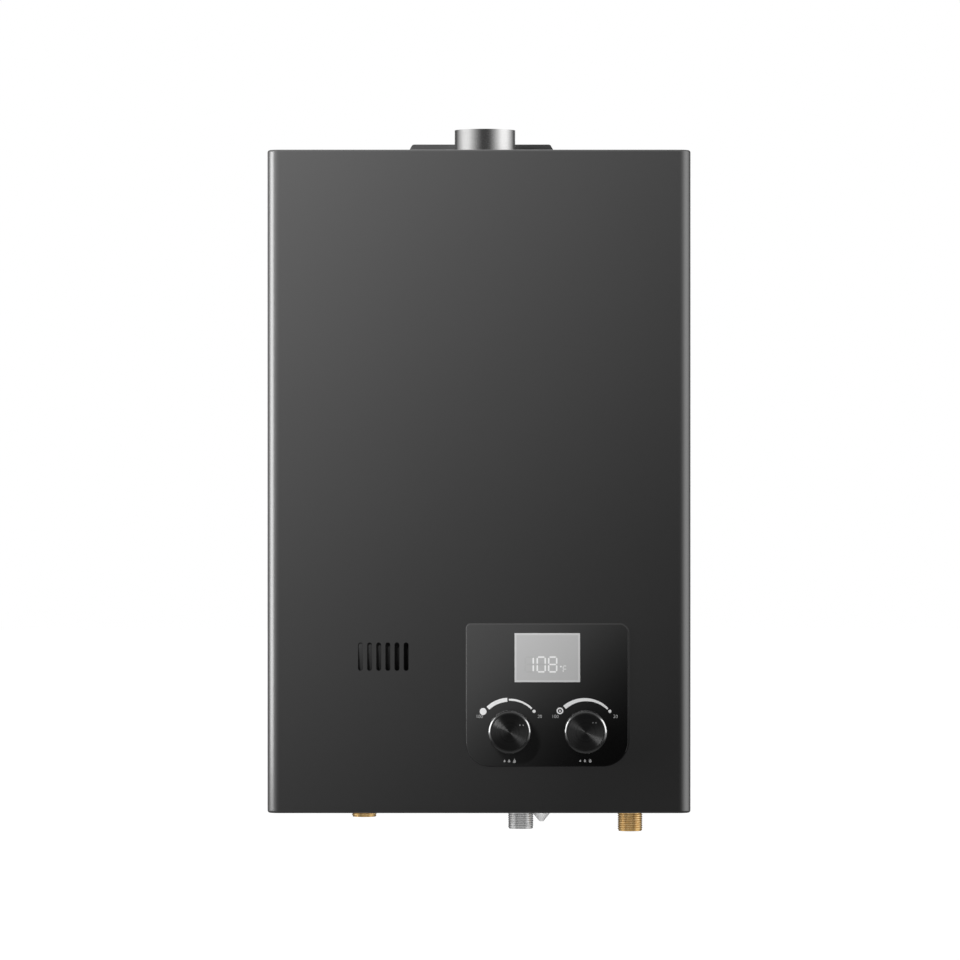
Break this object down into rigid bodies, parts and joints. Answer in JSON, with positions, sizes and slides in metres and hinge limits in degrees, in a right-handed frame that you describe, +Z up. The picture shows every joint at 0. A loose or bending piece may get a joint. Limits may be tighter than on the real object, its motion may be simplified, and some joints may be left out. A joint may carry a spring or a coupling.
{
  "type": "gas water heater",
  "caption": "Wall-hung instantaneous gas water heater: dark steel case with flue spigot, display panel, two knobs and pipe stubs.",
  "frame": {"origin": "centre of the four wall fixing holes, in the plane of the wall", "axes": "+Z up, +Y into the wall, +X to the right seen from the front"},
  "size_m": [0.354, 0.1582, 0.5887],
  "materials": {
    "aluminium_sheet": "mill finish",
    "brass_fitting": "turned brass with rolled thread",
    "bright_steel": "bright",
    "case_paint": "dark charcoal satin powder coat",
    "cast_aluminium": "die cast, fine grain",
    "ceramic": "glazed white insulator",
    "circuit_board": "green laminate",
    "clear_silicone": "translucent silicone",
    "copper": "copper sheet and pipe, slightly dulled",
    "dark_plastic": "fine texture",
    "dark_rubber": "matt",
    "display_grey": "matt grey",
    "display_window": "pale grey display window",
    "galvanised_steel": "bright zinc-coated sheet",
    "gloss_black": "high gloss black",
    "knob_black": "black, semi-gloss",
    "motor_can": "black lacquer",
    "pale_nylon": "pale grey nylon",
    "plated_fitting": "nickel-plated turned fitting",
    "spun_black_aluminium": "spun, black anodised",
    "stainless": "brushed stainless",
    "turned_brass": "machined",
    "zinc_screws": "zinc-plated"
  },
  "bodies": {
    "case": {"back_chassis": "case_paint", "burner_bars": "stainless", "burner_frame": "galvanised_steel", "cable_gland": "dark_plastic", "case_screws": "zinc_screws", "cold_pipe": "copper", "control_box": "dark_plastic", "control_box_lid": "dark_plastic", "control_fascia": "gloss_black", "display_board": "circuit_board", "display_lens": "display_window", "drain_branch": "turned_brass", "electrode_ceramics": "ceramic", "electrode_wires": "bright_steel", "fan_motor": "motor_can", "fan_scroll": "galvanised_steel", "fan_scroll_cover": "galvanised_steel", "flue_gasket": "dark_rubber", "flue_hood": "galvanised_steel", "flue_spigot": "stainless", "front_cover": "case_paint", "gas_inlet_fitting": "plated_fitting", "gas_jets": "turned_brass", "gas_manifold": "cast_aluminium", "gas_valve_body": "cast_aluminium", "heat_exchanger_fins": "copper", "heat_exchanger_shell": "copper", "heat_exchanger_tubes": "copper", "hot_outlet_fitting": "brass_fitting", "hot_outlet_pipe": "copper", "inlet_strainer": "pale_nylon", "lcd_module": "display_grey", "microswitch": "dark_plastic", "overheat_thermostat": "bright_steel", "plunger_spring": "bright_steel", "pressure_switch": "pale_nylon", "pressure_tube": "clear_silicone", "solenoid": "motor_can", "support_brackets": "galvanised_steel", "valve_diaphragm": "dark_rubber", "vent_baffle": "case_paint", "water_coil": "copper", "water_inlet_fitting": "brass_fitting", "water_valve_body": "turned_brass", "water_valve_cover": "turned_brass"},
    "power_knob_body": {"power_knob": "knob_black", "power_knob_face": "spun_black_aluminium", "power_spindle": "turned_brass"},
    "gas_knob_body": {"gas_knob": "knob_black", "gas_knob_face": "spun_black_aluminium", "gas_spindle": "turned_brass"},
    "fan_rotor": {"fan_impeller": "aluminium_sheet", "motor_shaft": "bright_steel"},
    "drain_seal_body": {"drain_seal": "dark_rubber"},
    "drain_plug_body": {"drain_plug": "pale_nylon"},
    "link": {"link_rod": "bright_steel", "gas_plunger": "turned_brass"},
    "switch_lever": {"microswitch_lever": "bright_steel"},
    "solenoid_core": {"solenoid_plunger": "bright_steel"}
  },
  "joints": [
    {"name": "power_knob_turn", "type": "hinge", "parent": "case", "child": "power_knob_body", "pos_m": [0.0253, -0.14, -0.22435], "axis": [0, -1, 0], "range_deg": [0, 104]},
    {"name": "gas_knob_turn", "type": "hinge", "parent": "case", "child": "gas_knob_body", "pos_m": [0.0881, -0.14, -0.22435], "axis": [0, -1, 0], "range_deg": [0, 104]},
    {"name": "fan_spin", "type": "hinge", "parent": "case", "child": "fan_rotor", "pos_m": [-0.0275, -0.07, 0.16275], "axis": [0, -1, 0], "continuous": true},
    {"name": "drain_plug_travel", "type": "slide", "parent": "case", "child": "drain_seal_body", "axis": [0, 0, -1], "range_m": [0, 0.006]},
    {"name": "drain_plug_turn", "type": "hinge", "parent": "drain_seal_body", "child": "drain_plug_body", "pos_m": [0.0528, -0.038, -0.29225], "axis": [0, 0, -1], "range_deg": [0, 1441]},
    {"name": "link_slide", "type": "slide", "parent": "case", "child": "link", "axis": [-1, 0, 0], "range_m": [0, 0.003], "stiffness_N_per_m": 400, "springref_m": -0.005, "deforming": ["plunger_spring"]},
    {"name": "switch_lever_turn", "type": "hinge", "parent": "case", "child": "switch_lever", "pos_m": [0.1004, -0.07, -0.20645], "axis": [0, 1, 0], "range_deg": [0, 7.95]},
    {"name": "solenoid_pull", "type": "slide", "parent": "case", "child": "solenoid_core", "axis": [-1, 0, 0], "range_m": [0, 0.003], "stiffness_N_per_m": 200, "springref_m": -0.004}
  ],
  "couplings": [
    {"joint": "drain_plug_turn", "follows": "drain_plug_travel", "rad_per_m": 4188.8},
    {"joint": "switch_lever_turn", "follows": "link_slide", "rad_per_m": 45.662}
  ]
}
